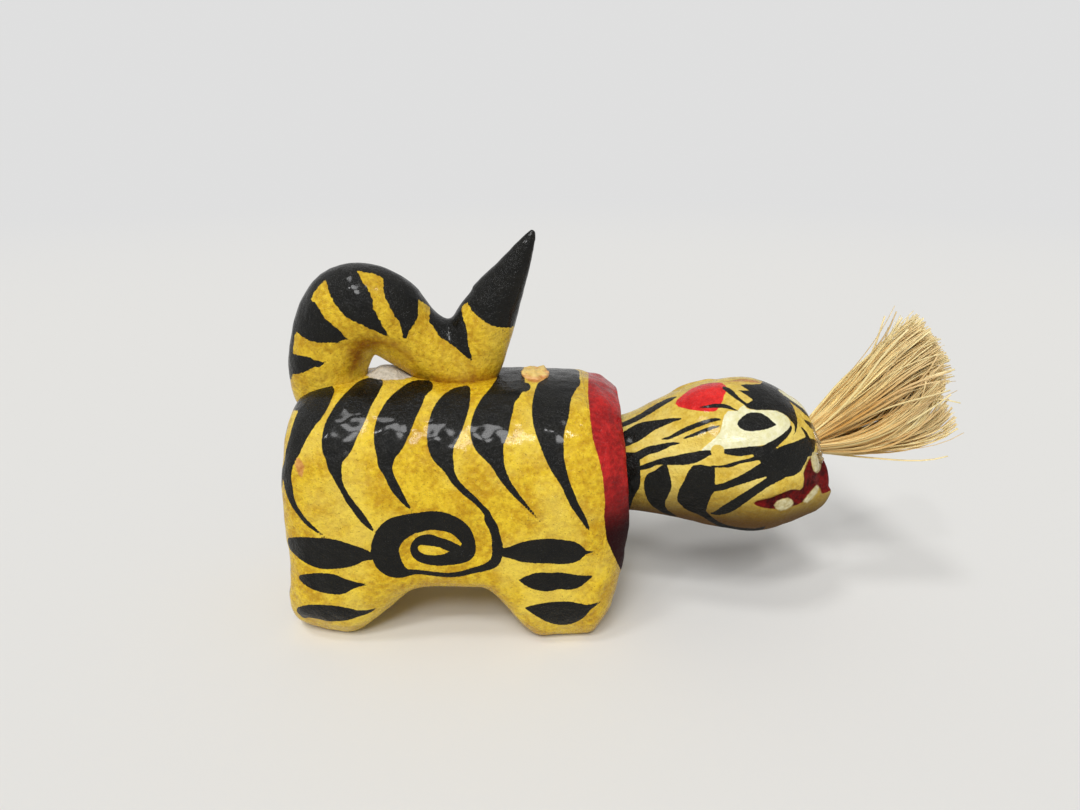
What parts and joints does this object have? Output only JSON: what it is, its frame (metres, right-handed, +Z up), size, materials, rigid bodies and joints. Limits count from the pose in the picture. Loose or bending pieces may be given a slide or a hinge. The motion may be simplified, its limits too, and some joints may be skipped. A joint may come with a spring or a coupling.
{
  "type": "nodding tiger figure",
  "caption": "Hollow papier-mache tiger on short legs, with a looped upright tail, a head that nods on a thread in the open front of the body, and a fibre tuft at the nose.",
  "frame": {"origin": "under the middle of the whole tiger's box, on the surface it stands on", "axes": "+X the way the tiger faces, +Y to the tiger's left, +Z up"},
  "size_m": [0.1546, 0.046, 0.0906],
  "materials": {
    "yellow_lacquer": "glossy lacquer over yellow paint with black stripes",
    "red_lacquer": "glossy lacquer over red paint",
    "plain_paper": "matte",
    "iron_wire": "dull",
    "hemp_thread": "twisted, matte",
    "pale_wood": "raw",
    "bamboo": "satin",
    "grey_clay": "matte",
    "plant_fibre": "raw fibre",
    "clear_glue": "clear, glossy"
  },
  "bodies": {
    "body": {"body_half_left": "yellow_lacquer", "body_half_right": "yellow_lacquer", "mouth_ring": "red_lacquer", "back_seam_strip": "plain_paper", "belly_seam_strip": "plain_paper", "tail_shell": "yellow_lacquer", "tail_core_wire": "iron_wire", "thread_knot": "hemp_thread"},
    "thread": {"hanging_thread": "hemp_thread"},
    "loop": {"thread_loop": "hemp_thread"},
    "head": {"head_half_left": "yellow_lacquer", "head_half_right": "yellow_lacquer", "crown_seam_strip": "plain_paper", "chin_seam_strip": "plain_paper", "neck_plug": "pale_wood", "balance_rod": "bamboo", "counterweight": "grey_clay", "whisker_tuft": "plant_fibre", "whisker_glue_ring": "clear_glue"}
  },
  "joints": [
    {"name": "thread_swing", "type": "hinge", "parent": "body", "child": "thread", "pos_m": [-0.02138, 0, 0.0572], "axis": [0, 1, 0], "range_deg": [-3, 3]},
    {"name": "head_sway", "type": "hinge", "parent": "thread", "child": "loop", "pos_m": [-0.02138, 0, 0.0405], "axis": [0, 0, 1], "range_deg": [-7, 7], "stiffness_Nm_per_rad": 0.0002},
    {"name": "head_nod", "type": "hinge", "parent": "loop", "child": "head", "pos_m": [-0.02138, 0, 0.0405], "axis": [0, 1, 0], "range_deg": [-7, 7]}
  ]
}
